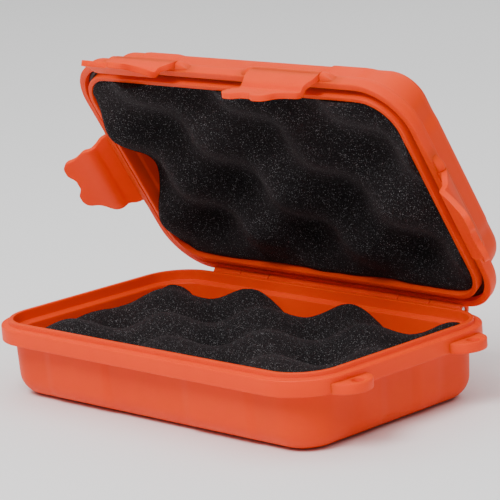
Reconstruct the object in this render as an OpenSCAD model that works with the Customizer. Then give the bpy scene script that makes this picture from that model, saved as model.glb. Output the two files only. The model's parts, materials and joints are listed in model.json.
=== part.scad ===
// Small hinged hard case with an egg-crate foam lining in both halves.
// Origin at the centre of the flat underside of the base. +X runs along the
// long side, +Y towards the hinge, +Z up. Drawn with the lid standing open.

/* [Case] */
// Length over the rims
case_l = 135; // [130:1:145]
// Width over the rims, front to back
case_w = 83.4; // [78:0.1:90]
// Outside corner radius of the rims
corner_r = 16; // [15:0.5:18]
// Height of the base up to the parting plane
base_h = 22; // [21:0.5:28]
// Height of the lid above the parting plane
lid_h = 16.4; // [16:0.2:22]
// Thickness of the moulded walls
wall = 1.6; // [1.4:0.1:1.8]
// Radius of the lower outside edge of the base
base_edge_r = 7; // [5.5:0.5:7]
// Radius of the upper outside edge of the lid
lid_edge_r = 4.6; // [4:0.2:4.6]

/* [Rim and seal] */
// Height of the band around the base
base_band = 4.8; // [4.6:0.1:5]
// Height of the band around the lid
lid_band = 4.4; // [4.3:0.1:4.6]
// Height of the sealing lip above the parting plane
lip_h = 1.4; // [1.2:0.1:1.4]
// Depth of the seal groove in the lid
groove_d = 3.2; // [3.2:0.05:3.3]
// Thickness of the seal cord
seal_d = 1.8; // [1.6:0.1:1.8]

/* [Hinge] */
// Opening of the lid from closed as drawn, degrees
lid_open = 59.5; // [0:0.5:104]
// Distance of the hinge pins behind the rims
hinge_out = 1.5; // [1.4:0.1:1.7]
// Diameter of the hinge pins
hinge_pin_d = 2; // [1.8:0.1:2.2]
// Distance of each hinge from the middle of the back edge
hinge_x = 33; // [28:1:36]
// Width of the lid's knuckle
knuckle_w = 12; // [10:1:14]
// Length of the pin held in the base inside each knuckle
lug_w = 4; // [3:0.5:5]
// Half length of the base's hinge barrel
barrel_x = 51; // [49:0.5:51]

/* [Latches] */
// Width of a latch at its pivot
latch_w = 26.5; // [25:0.5:27]
// Width of a latch near its free edge
latch_tip_w = 17.6; // [16:0.2:20]
// Half the distance between the two front latches
front_latch_x = 28.9; // [24:0.1:29]
// Shift of the pair of front latches to the right of the middle
front_latch_shift = -2.6; // [-2.8:0.1:2]
// Position of the side latches from the middle, towards the hinge
side_latch_y = 2; // [-1:0.5:3]
// Diameter of the latch pins
latch_pin_d = 1.4; // [1.2:0.1:1.5]
// Swing of the left front latch from closed, degrees
swing_front_left = 18; // [0:1:90]
// Swing of the right front latch from closed, degrees
swing_front_right = 0; // [0:1:90]
// Swing of the latch on the left end from closed, degrees
swing_left = 34; // [0:1:90]
// Swing of the latch on the right end from closed, degrees
swing_right = 30; // [0:1:90]

/* [Eyelets] */
// Distance of each lashing eyelet from the middle of the right end
eyelet_y = 24; // [20:1:25]
// Radius of the hole in an eyelet
eyelet_hole_r = 1.9; // [1.6:0.1:1.9]
// How far an eyelet stands out from the rim
eyelet_out = 5.8; // [5.6:0.1:7]

/* [Foam] */
// Distance between foam peaks along a row
foam_pitch_x = 42; // [38:1:46]
// Distance between foam rows
foam_pitch_y = 19.5; // [19:0.5:21]
// Height of the base foam's waves either side of their middle
base_wave = 4.2; // [2.5:0.1:4.2]
// Height of the lid foam's waves either side of their middle
lid_wave = 5; // [3.5:0.1:5]

/* [Hidden] */
$fn = 48;
plastic = [1, 0.36, 0.14];
black = [0.05, 0.05, 0.05];
foam = [0.12, 0.12, 0.13];
steel = [0.7, 0.7, 0.72];
// insets from the rim's outer face
wall_top = 3.8;                 // base wall where it meets the band
wall_low = 4.4;                 // base wall where it meets the bottom edge
lid_wall_low = 4.7;             // lid wall where it meets the band
lid_wall_top = 6;               // lid wall where it meets the top edge
step_w = 2.4;                   // parting step outside the lip
lip_w = 1.4;
groove_out = 2.2;
groove_in = groove_out + 1.8;
ridge_in = groove_in + 1.6;
ridge_drop = 1;                 // inner ridge of the lid below the parting plane
fit = 0.05;                     // running clearance of a pin, radial
hinge_y = case_w / 2 + hinge_out;
barrel_r = 2.3;
sweep_r = barrel_r + 0.25;      // pocket that clears a turning barrel
stop_z = -3.05;                 // shelf that stops the lid's knuckle
pivot_out = 0.3;                // latch pivot outside the rim
pivot_z = 2;                    // latch pivot above the parting plane
roll_r = 1.6;
lug_t = 1.8;                    // ears either side of a latch
over = 0.6;                     // overlap of joined pieces

// ---- helpers -------------------------------------------------------------
function arc(cx, cz, r, a0, a1, n) =
    [for (k = [0:n]) let (a = a0 + (a1 - a0) * k / n) [cx + r * cos(a), cz + r * sin(a)]];

// a cross-section [inset, height] carried once round the rim
module ring(section) {
    r = corner_r;
    for (m = [0, 1]) mirror([0, m, 0])
        translate([-(case_l / 2 - r), -case_w / 2, 0]) rotate([90, 0, 90])
            linear_extrude(case_l - 2 * r) polygon(section);
    for (m = [0, 1]) mirror([m, 0, 0])
        translate([case_l / 2, -(case_w / 2 - r), 0]) rotate([90, 0, 180])
            linear_extrude(case_w - 2 * r) polygon(section);
    for (mx = [0, 1], my = [0, 1]) mirror([mx, 0, 0]) mirror([0, my, 0])
        translate([case_l / 2 - r, case_w / 2 - r, 0])
            rotate_extrude(angle = 90) polygon([for (p = section) [r - p[0], p[1]]]);
}

// plate with the rim's rounded outline, moved in by inset
module plate(inset, z, t) {
    l = case_l - 2 * inset;
    w = case_w - 2 * inset;
    r = corner_r - inset;
    translate([-l / 2, -w / 2 + r, z]) cube([l, w - 2 * r, t]);
    translate([-l / 2 + r, -w / 2, z]) cube([l - 2 * r, w, t]);
    for (x = [-1, 1], y = [-1, 1])
        translate([x * (l / 2 - r), y * (w / 2 - r), z]) cylinder(r = r, h = t);
}

// bar along X on the hinge line, heights from the parting plane
module hinge_bar(x0, x1, r) translate([x0, hinge_y, base_h]) rotate([0, 90, 0]) cylinder(r = r, h = x1 - x0);

module hinge_block(x0, x1, y0, y1, z0, z1)
    translate([x0, hinge_y + y0, base_h + z0]) cube([x1 - x0, y1 - y0, z1 - z0]);

// the lid's own frame, turned about the hinge line
module opened() translate([0, hinge_y, base_h]) rotate([-lid_open, 0, 0]) translate([0, -hinge_y, -base_h])
    children();

// latch seats: local x along the edge, -y outwards, z up from the parting plane
module seat_front(x) translate([x, -case_w / 2, base_h]) children();
module seat_left() translate([-case_l / 2, side_latch_y, base_h]) rotate([0, 0, -90]) children();
module seat_right() translate([case_l / 2, side_latch_y, base_h]) rotate([0, 0, 90]) children();
module seats() {
    seat_front(front_latch_shift - front_latch_x) children();
    seat_front(front_latch_shift + front_latch_x) children();
    seat_left() children();
    seat_right() children();
}

// ---- base ----------------------------------------------------------------
base_section = concat(
    [[12, 0]],
    arc(wall_low + base_edge_r, base_edge_r, base_edge_r, 270, 180, 6),
    [[wall_top, base_h - 3.4], [1.5, base_h - 3.4], [1.5, base_h - base_band],
     [0.3, base_h - base_band], [0, base_h - base_band + 0.3], [0, base_h - 0.4], [0.4, base_h],
     [step_w, base_h], [step_w, base_h + lip_h - 0.3], [step_w + 0.3, base_h + lip_h],
     [step_w + lip_w - 0.3, base_h + lip_h], [step_w + lip_w, base_h + lip_h - 0.3],
     [step_w + lip_w, base_h - 1.7], [wall_top + wall, base_h - 2.4]],
    arc(wall_low + base_edge_r, base_edge_r, base_edge_r - wall, 180, 270, 6),
    [[12, wall]]);

// D-shaped tab with a plain vertical hole
module eyelet() translate([case_l / 2, 0, base_h - base_band]) difference() {
    intersection() {
        translate([eyelet_out - 7, 0, 0]) cylinder(r = 7, h = 3);
        translate([-1.2, -8, 0]) cube([12, 16, 3]);
    }
    translate([2.7, 0, -1]) cylinder(r = eyelet_hole_r, h = 5);
}

// the base's share of the hinge barrel, between and outside the lid's two knuckles: [from, to]
gap_in = hinge_x - knuckle_w / 2 - 0.2;
gap_out = hinge_x + knuckle_w / 2 + 0.2;
base_barrels = [[-barrel_x, -gap_out], [-gap_in, gap_in], [gap_out, barrel_x]];
pin_in = hinge_x - knuckle_w / 2 - lug_w;
pin_out = barrel_x - 0.4;

// barrel on its foot, with the shelf under each knuckle that stops the lid
module base_hinge() difference() {
    union() {
        for (b = base_barrels) {
            hinge_bar(b[0], b[1], barrel_r);
            hinge_block(b[0], b[1], -hinge_out - over, barrel_r, -base_band, 0);
        }
        for (s = [-1, 1])
            hinge_block(s * hinge_x - knuckle_w / 2 - 1, s * hinge_x + knuckle_w / 2 + 1,
                        -hinge_out - over, barrel_r + 1.2, -base_band, stop_z);
    }
    for (m = [0, 1]) mirror([m, 0, 0]) hinge_bar(pin_in, barrel_x + 1, hinge_pin_d / 2);
}

module base_shell() color(plastic) {
    difference() {
        union() {
            ring(base_section);
            plate(11.5, 0, wall);
        }
        for (m = [0, 1]) mirror([m, 0, 0]) {
            hinge_bar(gap_in, gap_out, sweep_r);
            hinge_bar(pin_in, pin_out, hinge_pin_d / 2);
        }
    }
    base_hinge();
    for (s = [-1, 1]) translate([0, s * eyelet_y, 0]) eyelet();
}

module hinge_pin() color(steel) hinge_bar(pin_in, pin_out, hinge_pin_d / 2);

// ---- lid -----------------------------------------------------------------
function up(points) = [for (p = points) [p[0], p[1] + base_h]];
lid_section = up(concat(
    [[11, lid_h]],
    arc(lid_wall_top + lid_edge_r, lid_h - lid_edge_r, lid_edge_r, 90, 180, 6),
    [[lid_wall_low, lid_band + 0.5], [lid_wall_low - 0.5, lid_band], [1.6, lid_band],
     [0.5, lid_band - 0.5], [0, lid_band - 1.5], [0, 0.3], [0.3, 0],
     [groove_out, 0], [groove_out, groove_d], [groove_in, groove_d],
     [groove_in, -ridge_drop + 0.3], [groove_in + 0.3, -ridge_drop],
     [ridge_in - 0.3, -ridge_drop], [ridge_in, -ridge_drop + 0.3], [ridge_in, groove_d - 0.4],
     [lid_wall_low + wall, groove_d + 0.4]],
    arc(lid_wall_top + lid_edge_r, lid_h - lid_edge_r, lid_edge_r - wall, 180, 90, 6),
    [[11, lid_h - wall]]));

// ears that carry a latch pin, faired down along the rim
module latch_ears() for (s = [0, 1]) mirror([s, 0, 0]) translate([latch_w / 2 + 0.15, 0, 0])
    difference() {
        intersection() {
            linear_extrude(lid_band) polygon(
                [[0, 0.8], [0, -1.9], [lug_t, -1.9], [lug_t + 4.5, 0.2], [lug_t + 4.5, 0.8]]);
            rotate([90, 0, 90]) linear_extrude(lug_t + 5) polygon(
                [[0.8, 0.3], [-0.9, 0.5], [-1.6, 1.1], [-1.9, 2], [-1.6, 2.9], [-0.9, 3.5], [0.8, 3.8]]);
        }
        translate([-1, -pivot_out, pivot_z]) rotate([0, 90, 0]) cylinder(d = latch_pin_d, h = lug_t + 1);
    }

// pocket in the lid's band for a latch's roll, with the pin's seats at its ends
module latch_pocket() translate([0, -pivot_out, pivot_z]) rotate([0, 90, 0]) {
    cylinder(r = roll_r + 0.2, h = latch_w + 0.3, center = true);
    cylinder(d = latch_pin_d, h = latch_w + 0.3 + 2 * lug_t, center = true);
}

module lid_hinge(x) difference() {
    union() {
        hinge_bar(x - knuckle_w / 2, x + knuckle_w / 2, barrel_r);
        hinge_block(x - knuckle_w / 2, x + knuckle_w / 2, -hinge_out - over, barrel_r - 0.1, 0, 3.6);
    }
    hinge_bar(x - knuckle_w, x + knuckle_w, hinge_pin_d / 2 + fit);
}

module lid_shell() color(plastic) opened() {
    difference() {
        union() {
            ring(lid_section);
            plate(10.5, base_h + lid_h - wall, wall);
        }
        seats() latch_pocket();
        for (b = base_barrels) hinge_bar(b[0] - 0.2, b[1] + 0.2, sweep_r);
    }
    for (s = [-1, 1]) lid_hinge(s * hinge_x);
    seats() latch_ears();
}

module lid_gasket() color(black) opened()
    ring([for (k = [0:15]) let (a = k * 22.5)
        [groove_out + 0.9 + seal_d / 2 * cos(a), base_h + groove_d - seal_d / 2 + seal_d / 2 * sin(a)]]);

// ---- latches -------------------------------------------------------------
// inner face of a closed latch, [outwards, height], from the roll to the free edge
latch_in = [[0.1, 1.2], [0.2, 0.2], [0.3, -2], [0.15, -4.4], [-0.45, -5], [-0.75, -5.6], [-0.4, -6.5],
            [0.8, -8.2], [2.4, -10.2], [4, -12.4], [5.4, -14.6], [6.5, -16.6]];
latch_out = [[7.8, -15.8], [7, -14.1], [5.7, -11.9], [4.2, -9.8], [2.6, -7.9], [1.7, -6.4], [1.75, -5],
             [2.2, -3.4], [2.3, -1.6], [2.1, 0.2], [1.7, 1.6], [1.3, 2.4]];

module latch(swing) color(plastic)
    translate([0, -pivot_out, pivot_z]) rotate([-swing, 0, 0]) translate([0, pivot_out, -pivot_z])
    difference() {
        union() {
            translate([-latch_w / 2, -pivot_out, pivot_z]) rotate([0, 90, 0]) cylinder(r = roll_r, h = latch_w);
            intersection() {
                translate([-latch_w / 2, 0, 0]) rotate([90, 0, 90]) linear_extrude(latch_w)
                    polygon([for (p = concat(latch_in, latch_out)) [-p[0], p[1]]]);
                translate([0, 3, 0]) rotate([90, 0, 0]) linear_extrude(14) latch_outline();
            }
        }
        translate([-latch_w, -pivot_out, pivot_z]) rotate([0, 90, 0])
            cylinder(r = latch_pin_d / 2 + fit, h = 2 * latch_w);
        translate([0, 3, -20.1]) rotate([90, 0, 0]) cylinder(r = 5.2, h = 14);
    }

// outline of a latch seen from outside: waisted below the roll, round corners
module latch_outline() {
    h = latch_w / 2;
    t = latch_tip_w / 2;
    polygon(concat(
        [[h, 4], [h, -2], [h - 0.6, -3], [h - 1.6, -3.8], [h - 1.3, -5], [h - 1.1, -7], [h - 1.5, -9],
         [t + 0.9, -11.6]],
        arc(t - 2.6, -14, 2.6, 0, -90, 6),
        arc(-t + 2.6, -14, 2.6, -90, -180, 6),
        [[-t - 0.9, -11.6], [-h + 1.5, -9], [-h + 1.1, -7], [-h + 1.3, -5], [-h + 1.6, -3.8], [-h + 0.6, -3],
         [-h, -2], [-h, 4]]));
}

module latch_pin() color(steel) translate([-latch_w / 2 - 1.8, -pivot_out, pivot_z]) rotate([0, 90, 0])
    cylinder(d = latch_pin_d, h = latch_w + 3.6);

module latch_front_left() opened() seat_front(front_latch_shift - front_latch_x) latch(swing_front_left);
module latch_front_right() opened() seat_front(front_latch_shift + front_latch_x) latch(swing_front_right);
module latch_left() opened() seat_left() latch(swing_left);
module latch_right() opened() seat_right() latch(swing_right);
module latch_pin_front_left() opened() seat_front(front_latch_shift - front_latch_x) latch_pin();
module latch_pin_front_right() opened() seat_front(front_latch_shift + front_latch_x) latch_pin();
module latch_pin_left() opened() seat_left() latch_pin();
module latch_pin_right() opened() seat_right() latch_pin();
module hinge_pin_left() mirror([1, 0, 0]) hinge_pin();
module hinge_pin_right() hinge_pin();

// ---- foam ----------------------------------------------------------------
foam_side = 5.75;
nx = 40;
ny = 24;
// point i, j of a grid spread over the rounded outline, moved in by d; the cut edge wanders a little
function spot(i, j, d) =
    let (r = corner_r - d, hw = case_w / 2 - d, y = hw * sin(90 * (2 * j / ny - 1) * 0.999) * 0.25
             + hw * (2 * j / ny - 1) * 0.75,
         e = max(0, abs(y) - (hw - r)), hx = case_l / 2 - d - r + sqrt(max(0, r * r - e * e)))
    [hx * (2 * i / nx - 1) + 0.04 * sin(97 * j) * sign(2 * i - nx),
     y + 0.04 * sin(83 * i) * (j == 0 || j == ny ? 1 : 0)];
function wave(p, x0, y0) = cos(360 * (p[0] - x0) / foam_pitch_x) * cos(180 * (p[1] - y0) / foam_pitch_y);
// grid indices once round the edge
rim_ij = concat([for (i = [0:nx - 1]) [i, 0]], [for (j = [0:ny - 1]) [nx, j]],
                [for (i = [nx:-1:1]) [i, ny]], [for (j = [ny:-1:1]) [0, j]]);
function id(i, j) = i + j * (nx + 1);

// waved face over side walls that step in to a flat back: steps are [inset, height];
// where the face is deep its edge tucks in by up to tuck; turned over when the waves face down
module foam_pad(face, steps, tuck, down) {
    n = (nx + 1) * (ny + 1);
    m = len(rim_ij);
    points = concat(
        [for (j = [0:ny], i = [0:nx])
            let (q = spot(i, j, foam_side), deep = max(0, min(1, (face(q) - base_h) / 2.2)),
                 edge = i == 0 || i == nx || j == 0 || j == ny,
                 p = spot(i, j, foam_side + (edge ? tuck * deep : 0)))
            [p[0], p[1], face(q)]],
        [for (s = steps, e = rim_ij) let (p = spot(e[0], e[1], s[0])) [p[0], p[1], s[1]]],
        [[0, 0, steps[len(steps) - 1][1] + (down ? 0.05 : -0.05)]]);
    faces = concat(
        [for (j = [0:ny - 1], i = [0:nx - 1]) [id(i, j), id(i, j + 1), id(i + 1, j + 1)]],
        [for (j = [0:ny - 1], i = [0:nx - 1]) [id(i, j), id(i + 1, j + 1), id(i + 1, j)]],
        [for (s = [0:len(steps) - 1], k = [0:m - 1]) let (l = (k + 1) % m,
            a = s == 0 ? id(rim_ij[k][0], rim_ij[k][1]) : n + (s - 1) * m + k,
            b = s == 0 ? id(rim_ij[l][0], rim_ij[l][1]) : n + (s - 1) * m + l,
            c = n + s * m + l, d = n + s * m + k)
            each [[a, b, c], [a, c, d]]],
        [for (k = [0:m - 1]) [n + (len(steps) - 1) * m + (k + 1) % m, n + len(steps) * m,
                             n + (len(steps) - 1) * m + k]]);
    polyhedron(points, down ? [for (f = faces) [for (k = [len(f) - 1:-1:0]) f[k]]] : faces, convexity = 6);
}

// 1 at a point, fading out over about 14 mm
function near(p, x, y) = exp(-(pow(p[0] - x, 2) + pow(p[1] - y, 2)) / 200);

module base_foam() color(foam) foam_pad(
    function (p) let (w = wave(p, 13.3, -1.5))
        base_h - 4.9 + base_wave * w - (w < 0 ? 1.2 * w * w : 0) + 2.6 * near(p, -59, 34),
    [[wall_low + wall + 0.6, base_edge_r + 0.5],
     [wall_low + base_edge_r + 0.2, wall + 0.07]], 0, false);

// fuller in the front left corner and level along the back, where the pad is pressed into the shell
function lid_face(p) =
    let (b = 0.85 * max(0, min(1, (p[1] - 20) / 15)),
         z = -3.5 + lid_wave * (1 - wave(p, 2, 4)) * (1 - 0.75 * near(p, -60, -34)))
    base_h + z * (1 - b) + 0.1 * b;

module lid_foam() color(foam) opened() foam_pad(
    function (p) lid_face(p),
    [[lid_wall_top + wall + 0.2, base_h + lid_h - lid_edge_r - 0.4],
     [lid_wall_top + lid_edge_r + 0.2, base_h + lid_h - wall - 0.07]], 1.15, true);

base_shell();
base_foam();
hinge_pin_left();
hinge_pin_right();
lid_shell();
lid_gasket();
lid_foam();
latch_front_left();
latch_front_right();
latch_left();
latch_right();
latch_pin_front_left();
latch_pin_front_right();
latch_pin_left();
latch_pin_right();
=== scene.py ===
import json
import math

import bmesh
import bpy
import numpy as np
from mathutils import Matrix, Vector


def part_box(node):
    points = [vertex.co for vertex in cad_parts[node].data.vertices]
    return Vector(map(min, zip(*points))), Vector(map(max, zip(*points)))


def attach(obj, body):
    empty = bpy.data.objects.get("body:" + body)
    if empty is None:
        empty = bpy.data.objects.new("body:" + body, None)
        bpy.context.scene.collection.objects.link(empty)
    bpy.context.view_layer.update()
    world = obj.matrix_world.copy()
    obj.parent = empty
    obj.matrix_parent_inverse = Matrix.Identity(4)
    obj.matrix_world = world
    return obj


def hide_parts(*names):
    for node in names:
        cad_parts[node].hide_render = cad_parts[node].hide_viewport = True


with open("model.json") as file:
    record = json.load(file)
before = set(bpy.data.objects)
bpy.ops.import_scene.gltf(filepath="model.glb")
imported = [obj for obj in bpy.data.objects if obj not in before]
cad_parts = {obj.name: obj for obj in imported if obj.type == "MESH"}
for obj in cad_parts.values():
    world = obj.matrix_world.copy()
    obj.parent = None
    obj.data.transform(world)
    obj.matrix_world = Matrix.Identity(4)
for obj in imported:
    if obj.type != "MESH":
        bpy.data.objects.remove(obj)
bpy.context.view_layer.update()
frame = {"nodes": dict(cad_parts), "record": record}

MM = 0.001

# ---- sizes taken from the CAD frame ---------------------------------------------------
joints = {j["name"]: j for j in frame["record"]["behaviour"]["joints"]}
base_lo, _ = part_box("base_shell")
hinge = Vector(joints["lid_hinge"]["pos_m"])
LEN, WID = -2 * base_lo[0], -2 * base_lo[1]          # over the rims
H = hinge.z                                          # parting plane
TOP = 16.4 * MM                                      # lid height over the parting plane
R = 16 * MM                                          # rim corner radius
OPEN = math.radians(-joints["lid_hinge"]["range_deg"][0])
LID = Matrix.Translation(hinge) @ Matrix.Rotation(-OPEN, 4, "X") @ Matrix.Translation(-hinge)
BASE_BAND = 4.8 * MM                                 # height of the base's rim band
BARREL_R = 2.3 * MM                                  # hinge barrels and knuckles
POCKET_R = BARREL_R + 0.25 * MM                      # pocket that clears a turning barrel
FOOT_IN = 2.1 * MM                                   # a hinge block's reach into the rim from the hinge line
FOAM_SIDE = 5.75 * MM                                # inset of the foam's cut sides


# ---- smooth noise ---------------------------------------------------------------------
def lattice(seed, size=64):
    return np.random.default_rng(seed).uniform(-1, 1, (size, size))


def noise2(x, y, cell, seed):
    """Smooth value noise over two arrays, in -1..1."""
    g = lattice(seed)
    n = g.shape[0]
    u, v = np.asarray(x) / cell + 500.3, np.asarray(y) / cell + 500.7
    i, j = np.floor(u).astype(int), np.floor(v).astype(int)
    fx, fy = u - i, v - j
    fx, fy = fx * fx * (3 - 2 * fx), fy * fy * (3 - 2 * fy)
    a, b = g[i % n, j % n], g[(i + 1) % n, j % n]
    c, d = g[i % n, (j + 1) % n], g[(i + 1) % n, (j + 1) % n]
    return (a * (1 - fx) + b * fx) * (1 - fy) + (c * (1 - fx) + d * fx) * fy


def smooth(t):
    t = np.clip(t, 0, 1)
    return t * t * (3 - 2 * t)


# ---- mesh helpers ---------------------------------------------------------------------
def mesh_object(name, verts, faces, mat, angle=35):
    me = bpy.data.meshes.new(name)
    me.from_pydata([tuple(v) for v in verts], [], [tuple(f) for f in faces])
    me.validate()
    me.update()
    ob = bpy.data.objects.new(name, me)
    bpy.context.scene.collection.objects.link(ob)
    me.materials.append(mat)
    me.shade_smooth()
    me.set_sharp_from_angle(angle=math.radians(angle))
    return ob


def select_only(obs):
    for o in bpy.context.selected_objects:
        o.select_set(False)
    for o in obs:
        o.select_set(True)
    bpy.context.view_layer.objects.active = obs[0]


def join(obs, name):
    select_only(obs)
    bpy.ops.object.join()
    obs[0].name = obs[0].data.name = name
    return obs[0]


def modify(ob, kind, **values):
    m = ob.modifiers.new(kind.lower(), kind)
    for k, v in values.items():
        setattr(m, k, v)
    return m


def bake(ob, angle=35):
    """Turns modifiers into mesh."""
    dg = bpy.context.evaluated_depsgraph_get()
    me = bpy.data.meshes.new_from_object(ob.evaluated_get(dg))
    ob.modifiers.clear()
    ob.data = me
    me.shade_smooth()
    me.set_sharp_from_angle(angle=math.radians(angle))
    return ob


def rounded(points, radii, seg=4):
    """An open outline with its corners turned into arcs; radii in step with points, 0 keeps a corner."""
    out, n = [], len(points)
    for k, (p, r) in enumerate(zip(points, radii)):
        p = np.array(p, float)
        if r <= 0 or k in (0, n - 1):
            out.append(p)
            continue
        a, b = np.array(points[k - 1], float) - p, np.array(points[(k + 1) % n], float) - p
        la, lb = np.linalg.norm(a), np.linalg.norm(b)
        a, b = a / la, b / lb
        half = math.acos(np.clip(a @ b, -1, 1)) / 2
        t = min(r / math.tan(half), 0.49 * la, 0.49 * lb)
        p0, p1 = p + a * t, p + b * t
        for s in np.linspace(0, 1, seg + 1):
            out.append((1 - s) ** 2 * p0 + 2 * s * (1 - s) * p + s * s * p1)
    return np.array(out)


def rim_path(step=1.5 * MM, corner=18):
    """Points once round the rim's outer face with outward directions, and how far each is along its side."""
    rows = []
    sides = [((LEN / 2 - R, -WID / 2), (1, 0), LEN - 2 * R, (0, -1), "front"),
             ((LEN / 2, WID / 2 - R), (0, 1), WID - 2 * R, (1, 0), "right"),
             ((-LEN / 2 + R, WID / 2), (-1, 0), LEN - 2 * R, (0, 1), "back"),
             ((-LEN / 2, -WID / 2 + R), (0, -1), WID - 2 * R, (-1, 0), "left")]
    for end, along, length, out, side in sides:
        end, along, out = np.array(end), np.array(along), np.array(out)
        n = max(2, int(round(length / step)))
        for k in range(n + 1):
            s = length * k / n
            rows.append((*(end - along * (length - s)), *out, s - length / 2, side))
        c = end - out * R
        for k in range(1, corner):
            a = math.pi / 2 * k / corner
            d = out * math.cos(a) + along * math.sin(a)
            rows.append((*(c + d * R), *d, 0.0, "corner"))
    return rows


def sweep(section, relief=None, caps=False, closed=True, **path):
    """Carries a section of (inset, height) round the rim. relief(row, k) moves section point k outwards."""
    rows = rim_path(**path)
    n, m = len(rows), len(section)
    verts = np.zeros((n * m, 3))
    for i, row in enumerate(rows):
        p, d = np.array(row[:2]), np.array(row[2:4])
        push = relief(row) if relief else np.zeros(m)
        verts[i * m:(i + 1) * m, :2] = p - d * (section[:, :1] - push[:, None])
        verts[i * m:(i + 1) * m, 2] = section[:, 1]
    faces = []
    for i in range(n):
        a, b = i * m, ((i + 1) % n) * m
        for k in range(m if closed else m - 1):
            l = (k + 1) % m
            faces.append((a + k, b + k, b + l, a + l))
    if caps:
        faces.append([i * m for i in range(n)][::-1])
        faces.append([i * m + m - 1 for i in range(n)])
    return verts, faces


def extrude(outline, direction, name, mat, bevel=0.0, seg=3, angle=35):
    """A flat outline (list of 3D points) pushed along direction, edges rounded."""
    a = np.array(outline)
    v = np.vstack([a, a + np.array(direction)])
    n = len(a)
    faces = [list(range(n))[::-1], [n + k for k in range(n)]]
    faces += [(k, (k + 1) % n, n + (k + 1) % n, n + k) for k in range(n)]
    ob = mesh_object(name, v, faces, mat)
    me = ob.data
    bm = bmesh.new()
    bm.from_mesh(me)
    bmesh.ops.recalc_face_normals(bm, faces=bm.faces)
    bm.to_mesh(me)
    bm.free()
    if bevel:
        modify(ob, "BEVEL", width=bevel, segments=seg, limit_method="ANGLE", angle_limit=math.radians(28))
        bake(ob, angle)
    return ob


def barrel(x0, x1, y, z, r, name, mat, bevel=0.25 * MM, n=40):
    turns = [2 * math.pi * k / n for k in range(n)]
    ring = [(x0, y + r * math.cos(a), z + r * math.sin(a)) for a in turns]
    return extrude(ring, (x1 - x0, 0, 0), name, mat, bevel)


def turn(ob, matrix):
    ob.data.transform(matrix)
    return ob


# ---- materials ------------------------------------------------------------------------
def new_mat(name):
    m = bpy.data.materials.new(name)
    m.use_nodes = True
    nt = m.node_tree
    b = nt.nodes["Principled BSDF"]
    co = nt.nodes.new("ShaderNodeTexCoord")
    return m, nt, b, co.outputs["Object"]


def tex(nt, kind, co, **v):
    n = nt.nodes.new(kind)
    for k, x in v.items():
        n.inputs[k].default_value = x
    nt.links.new(co, n.inputs["Vector"])
    return n


def ramp(nt, fac, stops):
    n = nt.nodes.new("ShaderNodeValToRGB")
    e = n.color_ramp.elements
    while len(e) < len(stops):
        e.new(0.5)
    for k, (p, c) in enumerate(stops):
        e[k].position = p
        e[k].color = (*c, 1) if len(c) == 3 else c
    nt.links.new(fac, n.inputs["Fac"])
    return n


def bump(nt, height, strength, distance, normal=None):
    n = nt.nodes.new("ShaderNodeBump")
    n.inputs["Strength"].default_value = strength
    n.inputs["Distance"].default_value = distance
    nt.links.new(height, n.inputs["Height"])
    if normal:
        nt.links.new(normal, n.inputs["Normal"])
    return n


def plastic(name, colour, deep, rough):
    """Satin moulded plastic: faint flow mottling, a very fine spark texture, some light under the surface."""
    m, nt, b, co = new_mat(name)
    flow = tex(nt, "ShaderNodeTexNoise", co, Scale=55.0, Detail=4.0, Roughness=0.55)
    tone = ramp(nt, flow.outputs["Fac"], [(0.3, deep), (0.72, colour)])
    nt.links.new(tone.outputs["Color"], b.inputs["Base Color"])
    smear = tex(nt, "ShaderNodeTexNoise", co, Scale=140.0, Detail=3.0, Roughness=0.6)
    r = nt.nodes.new("ShaderNodeMapRange")
    r.inputs["To Min"].default_value = rough - 0.04
    r.inputs["To Max"].default_value = rough + 0.08
    nt.links.new(smear.outputs["Fac"], r.inputs["Value"])
    nt.links.new(r.outputs["Result"], b.inputs["Roughness"])
    grain = tex(nt, "ShaderNodeTexNoise", co, Scale=5200.0, Detail=2.0, Roughness=0.5)
    wave = tex(nt, "ShaderNodeTexNoise", co, Scale=90.0, Detail=1.0)
    n1 = bump(nt, wave.outputs["Fac"], 0.10, 0.0004)
    n2 = bump(nt, grain.outputs["Fac"], 0.10, 0.00006, n1.outputs["Normal"])
    nt.links.new(n2.outputs["Normal"], b.inputs["Normal"])
    b.inputs["Subsurface Weight"].default_value = 0.45
    b.inputs["Subsurface Radius"].default_value = (0.0060, 0.0014, 0.0004)
    b.inputs["Subsurface Scale"].default_value = 1.0
    b.inputs["Specular IOR Level"].default_value = 0.12
    return m


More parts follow.
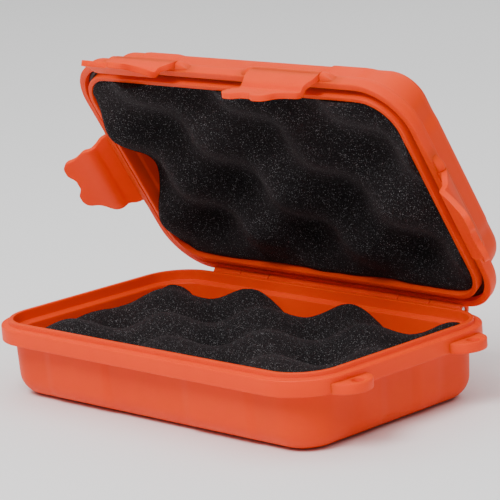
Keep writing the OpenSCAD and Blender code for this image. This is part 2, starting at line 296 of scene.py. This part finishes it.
def foam_mat():
    """Black open-cell foam: very fine pores, many faint painted glints in the base colour where cell walls
    would catch light, a few brighter ones.
    """
    m, nt, b, co = new_mat("foam_black")
    tint = tex(nt, "ShaderNodeTexNoise", co, Scale=45.0, Detail=3.0)
    body = ramp(nt, tint.outputs["Fac"], [(0.3, (0.0035, 0.0032, 0.0036)), (0.7, (0.0075, 0.0056, 0.0060))])
    # painted glints: pale voronoi specks in the base colour stand in for light caught by the cell walls
    speck = tex(nt, "ShaderNodeTexVoronoi", co, Scale=4300.0)
    pick = nt.nodes.new("ShaderNodeSeparateColor")
    nt.links.new(speck.outputs["Color"], pick.inputs["Color"])
    painted_glint = ramp(nt, pick.outputs["Red"],
               [(0.30, (0, 0, 0)), (0.88, (0.07, 0.07, 0.07)), (1.0, (0.55, 0.55, 0.55))])
    near = nt.nodes.new("ShaderNodeMath")
    near.operation = "LESS_THAN"
    near.inputs[1].default_value = 0.42
    nt.links.new(speck.outputs["Distance"], near.inputs[0])
    both = nt.nodes.new("ShaderNodeMath")
    both.operation = "MULTIPLY"
    nt.links.new(painted_glint.outputs["Color"], both.inputs[0])
    nt.links.new(near.outputs[0], both.inputs[1])
    # mixes the pale colour of the painted glints over the dark foam body
    mix = nt.nodes.new("ShaderNodeMix")
    mix.data_type = "RGBA"
    nt.links.new(both.outputs[0], mix.inputs["Factor"])
    nt.links.new(body.outputs["Color"], mix.inputs["A"])
    mix.inputs["B"].default_value = (0.58, 0.56, 0.58, 1)
    nt.links.new(mix.outputs["Result"], b.inputs["Base Color"])
    b.inputs["Roughness"].default_value = 0.95
    b.inputs["Specular IOR Level"].default_value = 0.12
    b.inputs["Sheen Weight"].default_value = 0.05
    b.inputs["Sheen Roughness"].default_value = 0.6
    b.inputs["Sheen Tint"].default_value = (0.8, 0.62, 0.66, 1)
    pores = tex(nt, "ShaderNodeTexVoronoi", co, Scale=2900.0)
    n1 = bump(nt, pores.outputs["Distance"], 0.8, 0.00022)
    nt.links.new(n1.outputs["Normal"], b.inputs["Normal"])
    return m


def seal_mat():
    m, nt, b, co = new_mat("seal_black")
    n = tex(nt, "ShaderNodeTexNoise", co, Scale=900.0, Detail=2.0)
    c = ramp(nt, n.outputs["Fac"], [(0.3, (0.010, 0.010, 0.011)), (0.7, (0.022, 0.022, 0.024))])
    nt.links.new(c.outputs["Color"], b.inputs["Base Color"])
    nt.links.new(bump(nt, n.outputs["Fac"], 0.2, 0.0001).outputs["Normal"], b.inputs["Normal"])
    b.inputs["Roughness"].default_value = 0.55
    return m


def steel_mat():
    m, nt, b, co = new_mat("pin_steel")
    n = tex(nt, "ShaderNodeTexNoise", co, Scale=700.0, Detail=3.0)
    c = ramp(nt, n.outputs["Fac"], [(0.3, (0.42, 0.42, 0.44)), (0.7, (0.58, 0.58, 0.6))])
    nt.links.new(c.outputs["Color"], b.inputs["Base Color"])
    nt.links.new(bump(nt, n.outputs["Fac"], 0.15, 0.00005).outputs["Normal"], b.inputs["Normal"])
    b.inputs["Metallic"].default_value = 1.0
    b.inputs["Roughness"].default_value = 0.34
    return m


ORANGE = plastic("shell_orange", (0.88, 0.050, 0.0008), (0.83, 0.043, 0.0008), 0.46)
LATCH = plastic("latch_orange", (0.92, 0.052, 0.0008), (0.86, 0.044, 0.0008), 0.50)
FOAM, SEAL, STEEL = foam_mat(), seal_mat(), steel_mat()


HX, KW, BARREL = 33 * MM, 12 * MM, 51 * MM          # knuckle place and width, end of the hinge


def cut(ob, tool):
    """Takes the shape of tool out of a piece."""
    modify(ob, "BOOLEAN", operation="DIFFERENCE", object=tool, solver="EXACT")
    bake(ob)
    bpy.data.objects.remove(tool)


def hinge_pocket(x0, x1):
    """The room in which a barrel from x0 to x1 turns."""
    return barrel(x0 - 0.2 * MM, x1 + 0.2 * MM, hinge.y, hinge.z, POCKET_R, "pocket", ORANGE, 0, 32)


# ---- base shell -----------------------------------------------------------------------
def arc(cx, cz, r, a0, a1, n):
    return [(cx + r * math.cos(math.radians(a0 + (a1 - a0) * k / n)),
             cz + r * math.sin(math.radians(a0 + (a1 - a0) * k / n))) for k in range(n + 1)]


def section(parts):
    """parts: (inset mm, height mm, corner radius mm) or an arc's list of points."""
    pts, rad = [], []
    for p in parts:
        if isinstance(p, list):
            pts += p
            rad += [0] * len(p)
        else:
            pts.append(p[:2])
            rad.append(p[2])
    return rounded(pts, rad) * MM


h = H / MM
base_section = section([
    arc(11.4, 7, 7, 270, 180, 12), (3.85, h - 3.5, 0.4), (1.5, h - 3.4, 0.3), (1.5, h - 4.8, 0.25),
    (0, h - 4.8, 0.45), (0, h - 0.04, 0.5), (2.4, h - 0.04, 0.3), (2.4, h + 1.4, 0.35),
    (3.8, h + 1.4, 0.35), (3.8, h - 1.7, 0.3),
    (5.45, h - 2.5, 0.6), arc(11.4, 7, 5.4, 180, 270, 10)])
k_wall = len(arc(0, 0, 1, 0, 1, 12))


def panels(s, spans, edge=0.7 * MM):
    """1 on the raised panels of a side, 0 between, for distance s from the side's middle."""
    v = 0.0
    for a, b in spans:
        v = max(v, float(smooth((s - a) / edge) * smooth((b - s) / edge)))
    return v


LID_FRONT = [(-46 * MM, -31 * MM), (31 * MM, 46 * MM)]
LID_SIDE = [(-20 * MM, 20 * MM)]
FRONT = [(-42.5 * MM, -16.6 * MM), (16.6 * MM, 42.5 * MM)]
SIDE = [(-17 * MM, -7 * MM), (7 * MM, 17 * MM)]


def base_relief(row):
    push = np.zeros(len(base_section))
    side, s = row[5], row[4]
    if side != "corner":
        w = panels(s, FRONT if side in ("front", "back") else SIDE)
        z = base_section[:k_wall + 4, 1]
        fall = smooth((z - 0.2 * MM) / (3 * MM)) * (np.arange(k_wall + 4) < k_wall + 3)
        push[:k_wall + 4] = 0.45 * MM * w * fall
    return push


v, f = sweep(base_section, base_relief, caps=True, closed=False)
base = mesh_object("base_body", v, f, ORANGE)
for s in (-1, 1):
    cut(base, hinge_pocket(s * HX - KW / 2, s * HX + KW / 2))


def eyelet(y):
    """D-shaped tab on the right end with a plain hole."""
    x0, z0, z1 = LEN / 2, H - BASE_BAND, H - 1.8 * MM
    out, r, hole, c = 5.8 * MM, 7 * MM, 1.9 * MM, 2.7 * MM
    n = 48
    lim = math.acos(min(1, (-1.2 * MM - (out - r)) / r))
    outer, inner = [], []
    for k in range(n):
        a = -lim + 2 * lim * k / (n - 1)
        outer.append((x0 + out - r + r * math.cos(a), y + r * math.sin(a)))
        b = math.pi * 2 * (k + 0.5) / n - math.pi
        inner.append((x0 + c + hole * math.cos(b), y + hole * math.sin(b)))
    oc = np.array([x0 + 1 * MM, y])
    e = 0.4 * MM

    def ring(points, centre, grow, z):
        p = np.array(points)
        d = p - centre
        d /= np.linalg.norm(d, axis=1)[:, None]
        return [(q[0], q[1], z) for q in p + d * grow]
    ic = np.array([x0 + c, y])
    rings = [ring(inner, ic, 0, z0 + e), ring(inner, ic, 0.12 * MM, z0 + e * 0.3), ring(inner, ic, e, z0),
             ring(outer, oc, -e, z0), ring(outer, oc, -e * 0.3, z0 + e * 0.3), ring(outer, oc, 0, z0 + e),
             ring(outer, oc, 0, z1 - e), ring(outer, oc, -e * 0.3, z1 - e * 0.3), ring(outer, oc, -e, z1),
             ring(inner, ic, e, z1), ring(inner, ic, 0.12 * MM, z1 - e * 0.3), ring(inner, ic, 0, z1 - e)]
    verts = [p for r_ in rings for p in r_]
    faces = []
    for i in range(len(rings)):
        a, b = i * n, ((i + 1) % len(rings)) * n
        for k in range(n):
            l = (k + 1) % n
            faces.append((a + k, a + l, b + l, b + k))
    return mesh_object("eyelet", verts, faces, ORANGE)


def block(x0, x1, y0, y1, z0, z1, name, mat, bevel=0.3 * MM):
    side = [(x0, y0, z0), (x0, y1, z0), (x0, y1, z1), (x0, y0, z1)]
    return extrude(side, (x1 - x0, 0, 0), name, mat, bevel)


def tube(x0, x1, y, z, r, bore, name, mat, n=40):
    """Barrel along X with a bore right through and rounded ends."""
    e = 0.25 * MM
    prof = [(x0, bore), (x0, r - e), (x0 + 0.3 * e, r - 0.3 * e), (x0 + e, r),
            (x1 - e, r), (x1 - 0.3 * e, r - 0.3 * e), (x1, r - e), (x1, bore)]
    m = len(prof)
    verts = [(px, y + pr * math.cos(2 * math.pi * k / n), z + pr * math.sin(2 * math.pi * k / n))
             for k in range(n) for px, pr in prof]
    faces = [(k * m + i, k * m + (i + 1) % m, (k + 1) % n * m + (i + 1) % m, (k + 1) % n * m + i)
             for k in range(n) for i in range(m)]
    return mesh_object(name, verts, [q[::-1] for q in faces], mat)


gap_in, gap_out = HX - KW / 2 - 0.2 * MM, HX + KW / 2 + 0.2 * MM
BARRELS = [(-BARREL, -gap_out), (-gap_in, gap_in), (gap_out, BARREL)]
bits = [base, eyelet(-24 * MM), eyelet(24 * MM)]
for x0, x1 in BARRELS:
    if x0 < 0 < x1:
        bits.append(barrel(x0, x1, hinge.y, hinge.z, BARREL_R, "hinge_barrel", ORANGE))
    else:
        bits.append(tube(x0, x1, hinge.y, hinge.z, BARREL_R, 1.02 * MM, "hinge_barrel", ORANGE))
    bits.append(block(x0, x1, hinge.y - FOOT_IN, hinge.y + BARREL_R, H - BASE_BAND, H - 1.1 * MM,
                      "hinge_foot", ORANGE))
for s in (-1, 1):
    bits.append(block(s * HX - KW / 2 - MM, s * HX + KW / 2 + MM, hinge.y - FOOT_IN, hinge.y + 3.5 * MM,
                      H - BASE_BAND, H - 3.05 * MM, "stop", ORANGE))
base = join(bits, "base_moulding")
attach(base, "base")
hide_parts("base_shell")

# ---- lid shell, built shut and then turned open ----------------------------------------
lid_section = section([
    arc(10.6, h + 11.8, 4.6, 90, 180, 12), (4.75, h + 5.0, 0.6), (4.3, h + 4.4, 0.4), (1.5, h + 4.4, 0.8),
    (0.35, h + 3.9, 0.8), (0, h + 2.6, 1.0), (0, h, 0.35), (2.2, h, 0.25),
    (2.2, h + 3.2, 0.1), (4.0, h + 3.2, 0.1), (4.0, h - 1, 0.35), (5.6, h - 1, 0.45),
    (5.6, h + 3.0, 0.3), (6.3, h + 3.6, 0.5),
    arc(10.6, h + 11.8, 3.0, 180, 90, 10)])


def lid_relief(row):
    push = np.zeros(len(lid_section))
    side, s = row[5], row[4]
    if side != "corner":
        w = panels(s, LID_FRONT if side in ("front", "back") else LID_SIDE)
        k = k_wall + 3
        z = lid_section[:k, 1] - H
        push[:k] = 0.8 * MM * w * smooth((TOP - 0.2 * MM - z) / (3 * MM)) * smooth((z - 4.4 * MM) / (1 * MM))
    return push


v, f = sweep(lid_section, lid_relief, caps=True, closed=False)
f = [tuple(reversed(x)) for x in f]
lid = mesh_object("lid_body", v, f, ORANGE)
for x0, x1 in BARRELS:
    cut(lid, hinge_pocket(x0, x1))

# latch seats in the shut lid: place and turn of the pivot's own frame (x along the edge, -y out)
SEATS = {}
for n, turned in (("front_left", 0), ("front_right", 0), ("left", -90), ("right", 90)):
    j = joints["latch_%s_hinge" % n]
    p = LID.inverted() @ Vector(j["pos_m"])
    SEATS[n] = (Matrix.Translation(p) @ Matrix.Rotation(math.radians(turned), 4, "Z"),
                math.radians(-j["range_deg"][0]))
LATCH_W = 26.5 * MM
PIVOT_OUT, PIVOT_Z = 0.3 * MM, 2 * MM              # pivot outside the rim face, above the parting plane


def ear(sgn):
    """Carries the latch pin at one end of a latch and fades into the rim along the edge."""
    turns = np.linspace(-math.pi / 2, -1.5 * math.pi, 15)
    ring = [(-0.3 + 1.5 * math.cos(a), 2 + 1.5 * math.sin(a)) for a in turns]
    prof = np.array([(0.9, 0.5)] + ring + [(0.9, 3.5)]) * MM
    xs = np.concatenate([[0, 0.12, 0.3], np.linspace(0.6, 6.4, 18)]) * MM
    verts, m = [], len(prof)
    for k, x in enumerate(xs):
        out = 1 - float(smooth((x - 0.9 * MM) / (5.5 * MM)))
        trim = (0.16, 0.05, 0.0)[min(k, 2)] * MM
        for u, z in prof:
            if u < 0:
                u = (u + trim) * out + 0.5 * MM * (1 - out)
                z += (PIVOT_Z - z) * (trim / PIVOT_Z + 0.35 * (1 - out))
            verts.append((sgn * (LATCH_W / 2 + 0.12 * MM + x), u, z))
    faces = []
    for i in range(len(xs) - 1):
        for k in range(m - 1):
            q = (i * m + k, i * m + k + 1, (i + 1) * m + k + 1, (i + 1) * m + k)
            faces.append(q[::-1] if sgn > 0 else q)
    cap = list(range(m))
    faces.append(cap if sgn > 0 else cap[::-1])
    ob = mesh_object("ear", verts, faces, ORANGE, 50)
    return turn(ob, Matrix.Translation((0, PIVOT_OUT, -PIVOT_Z)))


bits = [lid]
for n, (m, swing) in SEATS.items():
    reach = LATCH_W / 2 + 0.1 * MM
    cut(lid, turn(barrel(-reach, reach, 0, 0, 1.66 * MM, "pocket", ORANGE, 0, 48), m))
    for s in (-1, 1):
        bits.append(turn(ear(s), m))
for s in (-1, 1):
    x0, x1 = s * HX - KW / 2, s * HX + KW / 2
    bits.append(barrel(x0, x1, hinge.y, hinge.z, BARREL_R, "knuckle", ORANGE))
    bits.append(block(x0, x1, hinge.y - FOOT_IN, hinge.y + 2.2 * MM, H, H + 3.6 * MM,
                      "knuckle_arm", ORANGE, 0.4 * MM))
lid = turn(join(bits, "lid_moulding"), LID)
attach(lid, "lid")
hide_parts("lid_shell")

# ---- seal cord --------------------------------------------------------------------------
turns = np.linspace(0, 2 * math.pi, 15)[:-1]
cord = np.array([(2.2 + 0.9 + 0.9 * math.cos(a), h + 2.3 + 0.9 * math.sin(a)) for a in turns])
v, f = sweep(cord * MM, closed=True)
seal = turn(mesh_object("seal_cord", v, f, SEAL, 80), LID)
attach(seal, "lid")
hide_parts("lid_gasket")

# ---- latches ----------------------------------------------------------------------------
def spline(points, n):
    """Smooth curve through points, n samples even in length."""
    p = np.array(points, float)
    p = np.vstack([2 * p[0] - p[1], p, 2 * p[-1] - p[-2]])
    out = []
    for k in range(1, len(p) - 2):
        for t in np.linspace(0, 1, 24, endpoint=False):
            a, b, c, d = p[k - 1:k + 3]
            out.append(0.5 * (2 * b + (c - a) * t + (2 * a - 5 * b + 4 * c - d) * t * t
                              + (3 * b - a - 3 * c + d) * t ** 3))
    out.append(p[-2])
    out = np.array(out)
    s = np.concatenate([[0], np.cumsum(np.linalg.norm(np.diff(out, axis=0), axis=1))])
    u = np.linspace(0, s[-1], n)
    return np.stack([np.interp(u, s, out[:, k]) for k in (0, 1)], -1), s[-1]


def latch(name):
    """Wavy hooked flap: roll at the pivot, groove for the rim, hooked ridge, finger lip with a notch."""
    # middle of the wall from the pivot to the free edge, (outwards, up), and half the width along it
    mid = [(0.62, 0.3), (0.72, -0.8), (0.94, -2.2), (1.02, -3.8), (1.0, -5.4), (0.87, -6.3), (0.47, -7.15),
           (0.3, -7.9), (0.5, -8.8), (1.5, -10.2), (3.1, -12.1), (4.6, -14.2), (5.85, -16.3), (6.9, -18.3)]
    wide = [(0, 13.25), (0.17, 13.25), (0.24, 12.6), (0.29, 11.75), (0.36, 11.75), (0.46, 12.0), (0.55, 11.8),
            (0.66, 10.9), (0.76, 9.9), (0.86, 9.2), (1, 8.9)]
    rows, cols = 64, 61
    curve, length = spline(mid, rows)
    half, tip, corner_r = LATCH_W / 2, 8.8 * MM, 2.8 * MM
    grid = np.zeros((rows, cols, 3))
    for c in range(cols):
        q = 2 * c / (cols - 1) - 1
        for r in range(rows):
            t = r / (rows - 1)
            w = np.mean([np.interp(t + d, *zip(*wide)) for d in np.linspace(-0.05, 0.05, 9)]) * MM
            x = q * w
            # free edge: round corners and a shallow finger notch
            corner = max(0.0, abs(x) - (tip - corner_r)) / corner_r
            rounding = 2.6 * (1 - math.sqrt(max(0.0, 1 - min(1, corner) ** 2))) if t > 0.5 else 0.0
            notch = 1.8 * float(smooth((4.6 * MM - abs(x)) / (3.4 * MM)))
            end = 1 - max(rounding, notch) / length
            drawn_in = t if t < 0.5 else 0.5 + (t - 0.5) * (end - 0.5) / 0.5
            place = drawn_in * (rows - 1)
            i = min(int(place), rows - 2)
            p = curve[i] * (1 - (place - i)) + curve[i + 1] * (place - i)
            grid[r, c] = (x, -p[0] * MM, p[1] * MM)
    faces = [(r * cols + c, r * cols + c + 1, (r + 1) * cols + c + 1, (r + 1) * cols + c)
             for r in range(rows - 1) for c in range(cols - 1)]
    flap = mesh_object(name + "_flap", grid.reshape(-1, 3), faces, LATCH)
    modify(flap, "SOLIDIFY", thickness=1.7 * MM, offset=0, use_even_offset=True)
    modify(flap, "BEVEL", width=0.45 * MM, segments=3, limit_method="ANGLE", angle_limit=math.radians(50))
    bake(flap, 40)
    roll = barrel(-half, half, 0, 0, 1.6 * MM, name + "_roll", LATCH, 0.3 * MM)
    return join([flap, roll], name)


for n, (m, swing) in SEATS.items():
    piece = latch("latch_%s_moulding" % n)
    turn(piece, LID @ m @ Matrix.Rotation(-swing, 4, "X"))
    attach(piece, "latch_" + n)
    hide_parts("latch_" + n)


# ---- foam -------------------------------------------------------------------------------
def egg_crate(name, height, steps, side, down=False, tuck=0.0, cell=0.6 * MM):
    """Foam pad: a waved face over cut sides. height(x, y) in metres; steps are (inset, height)."""
    hw = WID / 2 - side
    ny = int(2 * hw / cell)
    nx = int((LEN - 2 * side) / cell)

    def spot(i, j, d):
        r, hy = R - d, WID / 2 - d
        y = hy * (0.88 * (2 * j / ny - 1) + 0.12 * math.sin(math.pi / 2 * (2 * j / ny - 1)))
        e = max(0.0, abs(y) - (hy - r))
        hx = LEN / 2 - d - r + math.sqrt(max(0.0, r * r - e * e))
        return hx * (2 * i / nx - 1), y

    verts = np.array([spot(i, j, side) for j in range(ny + 1) for i in range(nx + 1)])
    x, y = verts[:, 0], verts[:, 1]
    z = height(x, y)
    sgn = -1 if down else 1
    # where the face is deep its edge follows the wall in
    deep = tuck * smooth((z - H) / (2.2 * MM))
    rim = [k for k in range(len(verts)) if k % (nx + 1) in (0, nx) or k // (nx + 1) in (0, ny)]
    for k in rim:
        x[k], y[k] = spot(k % (nx + 1), k // (nx + 1), side + deep[k])
    # the cut edge is a little rounded off
    edge = np.minimum(LEN / 2 - side - np.abs(x), hw - np.abs(y))
    z = z - sgn * 0.5 * MM * (1 - smooth(edge / (1.3 * MM)))
    z = z + sgn * (0.05 * MM * noise2(x, y, 0.9 * MM, 3) + 0.25 * MM * noise2(x, y, 7 * MM, 5))
    verts = np.column_stack([x, y, z])
    faces = [(j * (nx + 1) + i, j * (nx + 1) + i + 1, (j + 1) * (nx + 1) + i + 1, (j + 1) * (nx + 1) + i)
             for j in range(ny) for i in range(nx)]
    loop = ([(i, 0) for i in range(nx)] + [(nx, j) for j in range(ny)]
            + [(i, ny) for i in range(nx, 0, -1)] + [(0, j) for j in range(ny, 0, -1)])
    last = [j * (nx + 1) + i for i, j in loop]
    total, rings = len(verts), [verts]
    for d, zz in steps:
        rings.append(np.array([(*spot(i, j, d), zz) for i, j in loop]))
        now = list(range(total, total + len(loop)))
        total += len(loop)
        m = len(loop)
        faces += [(last[k], now[k], now[(k + 1) % m], last[(k + 1) % m]) for k in range(m)]
        last = now
    faces.append(last[::-1])
    verts = np.vstack(rings)
    if down:
        faces = [tuple(reversed(q)) for q in faces]
    return mesh_object(name, verts, faces, FOAM, 60)


def waves(x, y, x0, y0, px=42 * MM, py=19.5 * MM):
    return np.cos(2 * np.pi * (x - x0) / px) * np.cos(np.pi * (y - y0) / py)


def near(x, y, cx, cy):
    return np.exp(-((x / MM - cx) ** 2 + (y / MM - cy) ** 2) / 200)


def base_face(x, y):
    w = waves(x, y, 13.3 * MM, -1.5 * MM)
    return H + MM * (-4.9 + 4.2 * w - 2.2 * np.minimum(w, 0) ** 2 + 2.6 * near(x, y, -59, 34))


def lid_face(x, y):
    """Fuller in the front left corner and level along the back, where the pad is pressed into the shell."""
    z = -3.5 + 5 * (1 - waves(x, y, 2 * MM, 4 * MM)) * (1 - 0.75 * near(x, y, -60, -34))
    b = 0.85 * np.clip((y / MM - 20) / 15, 0, 1)
    return H + MM * (z * (1 - b) + 0.1 * b)


base_steps = [(6.3 * MM, 13 * MM), (6.8 * MM, 8 * MM), (11.6 * MM, 1.7 * MM)]
pad = egg_crate("foam_base", base_face, base_steps, FOAM_SIDE)
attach(pad, "base")
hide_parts("base_foam")

lid_steps = [(7.8 * MM, H + 11.4 * MM), (10.8 * MM, H + 14.7 * MM)]
pad = egg_crate("foam_lid", lid_face, lid_steps, FOAM_SIDE, down=True, tuck=1.15 * MM)
turn(pad, LID)
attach(pad, "lid")
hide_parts("lid_foam")

for n in [k for k in frame["nodes"] if "pin" in k]:
    frame["nodes"][n].data.materials.clear()
    frame["nodes"][n].data.materials.append(STEEL)

# ---- floor, light, camera -----------------------------------------------------------------
m, nt, b, co = new_mat("floor_pale")
n = tex(nt, "ShaderNodeTexNoise", co, Scale=3.0, Detail=2.0)
c = ramp(nt, n.outputs["Fac"], [(0.3, (0.88, 0.88, 0.88)), (0.7, (0.9, 0.9, 0.9))])
nt.links.new(c.outputs["Color"], b.inputs["Base Color"])
b.inputs["Roughness"].default_value = 0.8
corners = [(x, y, -0.0001) for x, y in ((-4, -4), (4, -4), (4, 4), (-4, 4))]
floor = mesh_object("floor", corners, [(0, 1, 2, 3)], m)

world = bpy.data.worlds.new("studio")
bpy.context.scene.world = world
world.use_nodes = True
world.node_tree.nodes["Background"].inputs["Color"].default_value = (1, 1, 1, 1)
world.node_tree.nodes["Background"].inputs["Strength"].default_value = 0.26


def softbox(name, at, look, size, power):
    d = bpy.data.lights.new(name, "AREA")
    d.shape, d.size, d.size_y, d.energy = "RECTANGLE", size[0], size[1], power
    o = bpy.data.objects.new(name, d)
    bpy.context.scene.collection.objects.link(o)
    o.location = at
    o.rotation_mode = "QUATERNION"
    o.rotation_quaternion = (Vector(look) - Vector(at)).to_track_quat("-Z", "Y")


centre = Vector((0, 0, H))
softbox("key", (0.15, -0.6, 0.85), centre, (0.4, 0.4), 9)
softbox("top", (0.0, 0.2, 1.3), Vector((0, 0.2, 0)), (3.0, 3.0), 38)

AZ, EL, ROLL = (math.radians(a) for a in (45.49, 12.38, -4.06))
right = Vector((math.cos(AZ), math.sin(AZ), 0))
ahead = Vector((-math.sin(AZ) * math.cos(EL), math.cos(AZ) * math.cos(EL), -math.sin(EL)))
above = right.cross(ahead)
r2 = right * math.cos(ROLL) + above * math.sin(ROLL)
u2 = above * math.cos(ROLL) - right * math.sin(ROLL)
cam_data = bpy.data.cameras.new("camera")
cam = bpy.data.objects.new("camera", cam_data)
bpy.context.scene.collection.objects.link(cam)
aim = Vector((8.05 * MM, 0, H + 22.3 * MM))
cam.location = aim - ahead * 0.7463
cam.rotation_mode = "QUATERNION"
cam.rotation_quaternion = Matrix((r2, u2, -ahead)).transposed().to_quaternion()
cam_data.sensor_width = 36
cam_data.lens = 36 * 2581 / 500
cam_data.clip_start, cam_data.clip_end = 0.01, 20
bpy.context.scene.camera = cam
